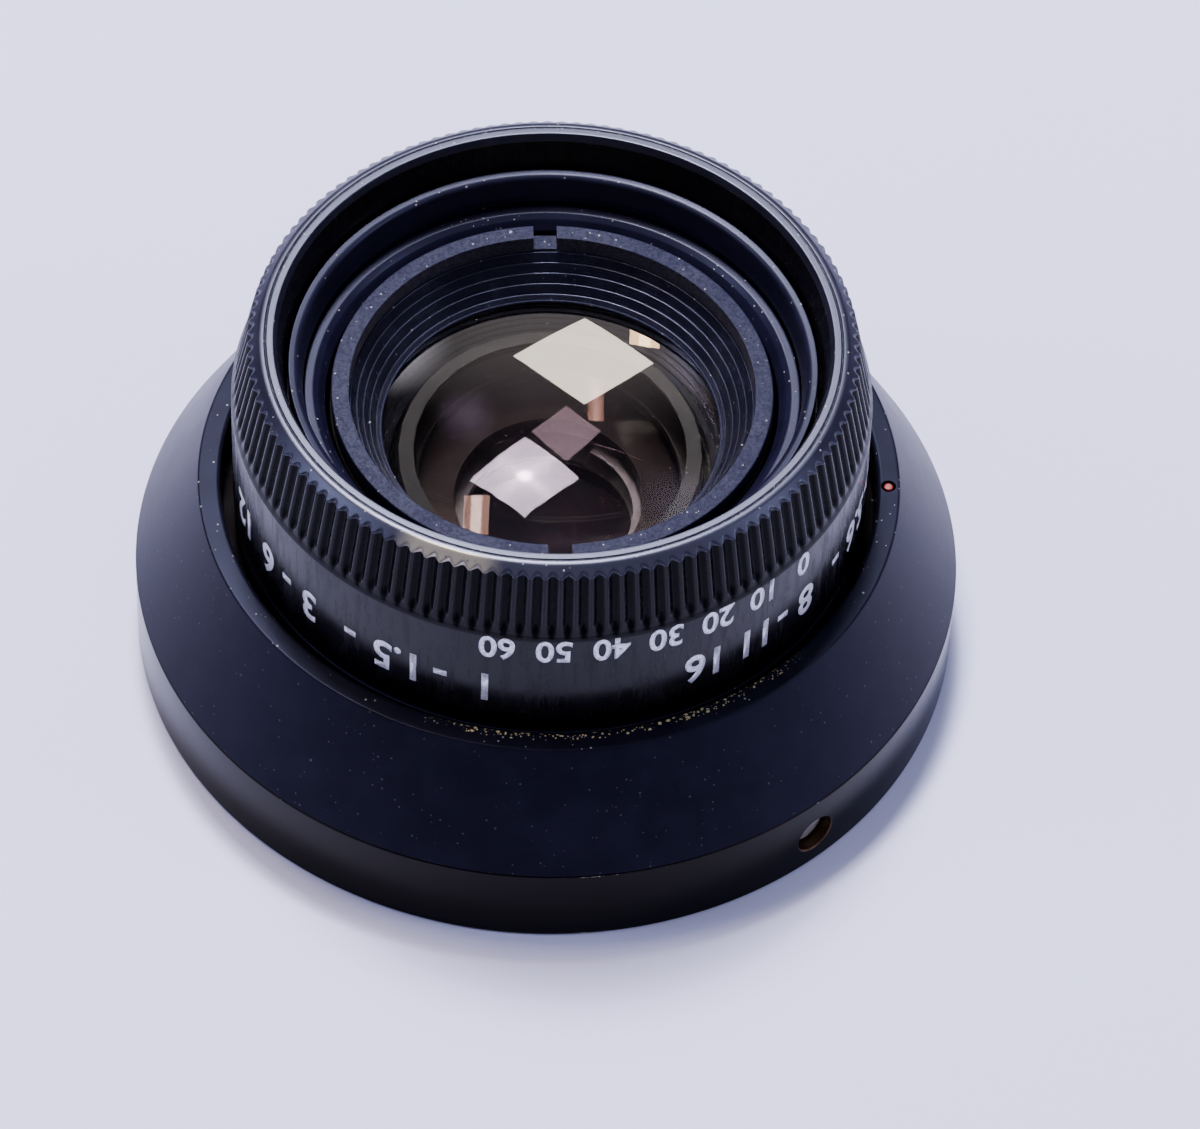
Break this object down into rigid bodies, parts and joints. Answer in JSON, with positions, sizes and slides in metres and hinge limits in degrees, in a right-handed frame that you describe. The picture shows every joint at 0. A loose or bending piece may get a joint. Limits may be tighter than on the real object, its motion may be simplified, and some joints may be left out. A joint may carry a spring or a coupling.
{
  "type": "enlarger lens",
  "caption": "Black enlarging lens with a knurled, numbered aperture ring and leaf iris, held in a conical adapter flange with a clamp screw.",
  "frame": {"origin": "centre of the flange's underside, the plane the lens stands on", "axes": "+Z along the optical axis towards the front of the lens, -Y the side seen in the picture, +X through the index mark"},
  "size_m": [0.058, 0.058, 0.0291],
  "materials": {
    "flange_black": "satin black enamel on turned brass, fine turning lines",
    "ring_black": "semi-matt black anodised, worn on the edges",
    "bezel_black": "satin black anodised",
    "barrel_black": "satin black anodised",
    "baffle_black": "matt black anti-reflection paint",
    "lock_ring_black": "blackened brass",
    "coated_glass": "polished, single-layer coated",
    "iris_brass": "blackened brass",
    "spring_steel": "blued spring steel",
    "screw_steel": "plain steel, slightly oxidised",
    "index_red": "red enamel"
  },
  "bodies": {
    "root": {"lens_flange": "flange_black", "flange_set_screw": "screw_steel", "index_mark": "index_red", "lens_barrel": "barrel_black", "mount_lock_ring": "lock_ring_black", "ring_retainer": "barrel_black", "click_ball": "screw_steel", "click_spring": "spring_steel", "front_cell": "barrel_black", "front_baffle_ring": "baffle_black", "front_element": "coated_glass", "spacer_ring": "baffle_black", "middle_element": "coated_glass", "iris_base_ring": "iris_brass", "rear_cell": "barrel_black", "rear_element": "coated_glass", "rear_retaining_ring": "baffle_black"},
    "aperture_ring": {"aperture_ring": "ring_black", "inner_bezel": "bezel_black", "ring_key": "screw_steel", "iris_actuator_ring": "iris_brass"},
    "iris_blade_1": {"iris_blade_1": "spring_steel"},
    "iris_blade_2": {"iris_blade_2": "spring_steel"},
    "iris_blade_3": {"iris_blade_3": "spring_steel"},
    "iris_blade_4": {"iris_blade_4": "spring_steel"},
    "iris_blade_5": {"iris_blade_5": "spring_steel"}
  },
  "joints": [
    {"name": "aperture_turn", "type": "hinge", "parent": "root", "child": "aperture_ring", "pos_m": [0, 0, 0], "axis": [0, 0, 1], "range_deg": [0, 60]},
    {"name": "blade_1_swing", "type": "hinge", "parent": "root", "child": "iris_blade_1", "pos_m": [0.0126, 0, 0], "axis": [0, 0, 1], "range_deg": [0, 18.04]},
    {"name": "blade_2_swing", "type": "hinge", "parent": "root", "child": "iris_blade_2", "pos_m": [0.00389, 0.01198, 0], "axis": [0, 0, 1], "range_deg": [0, 18.04]},
    {"name": "blade_3_swing", "type": "hinge", "parent": "root", "child": "iris_blade_3", "pos_m": [-0.01019, 0.00741, 0], "axis": [0, 0, 1], "range_deg": [0, 18.04]},
    {"name": "blade_4_swing", "type": "hinge", "parent": "root", "child": "iris_blade_4", "pos_m": [-0.01019, -0.00741, 0], "axis": [0, 0, 1], "range_deg": [0, 18.04]},
    {"name": "blade_5_swing", "type": "hinge", "parent": "root", "child": "iris_blade_5", "pos_m": [0.00389, -0.01198, 0], "axis": [0, 0, 1], "range_deg": [0, 18.04]}
  ],
  "couplings": [
    {"joint": "blade_1_swing", "follows": "aperture_turn", "ratio": 0.3006},
    {"joint": "blade_2_swing", "follows": "aperture_turn", "ratio": 0.3006},
    {"joint": "blade_3_swing", "follows": "aperture_turn", "ratio": 0.3006},
    {"joint": "blade_4_swing", "follows": "aperture_turn", "ratio": 0.3006},
    {"joint": "blade_5_swing", "follows": "aperture_turn", "ratio": 0.3006}
  ]
}
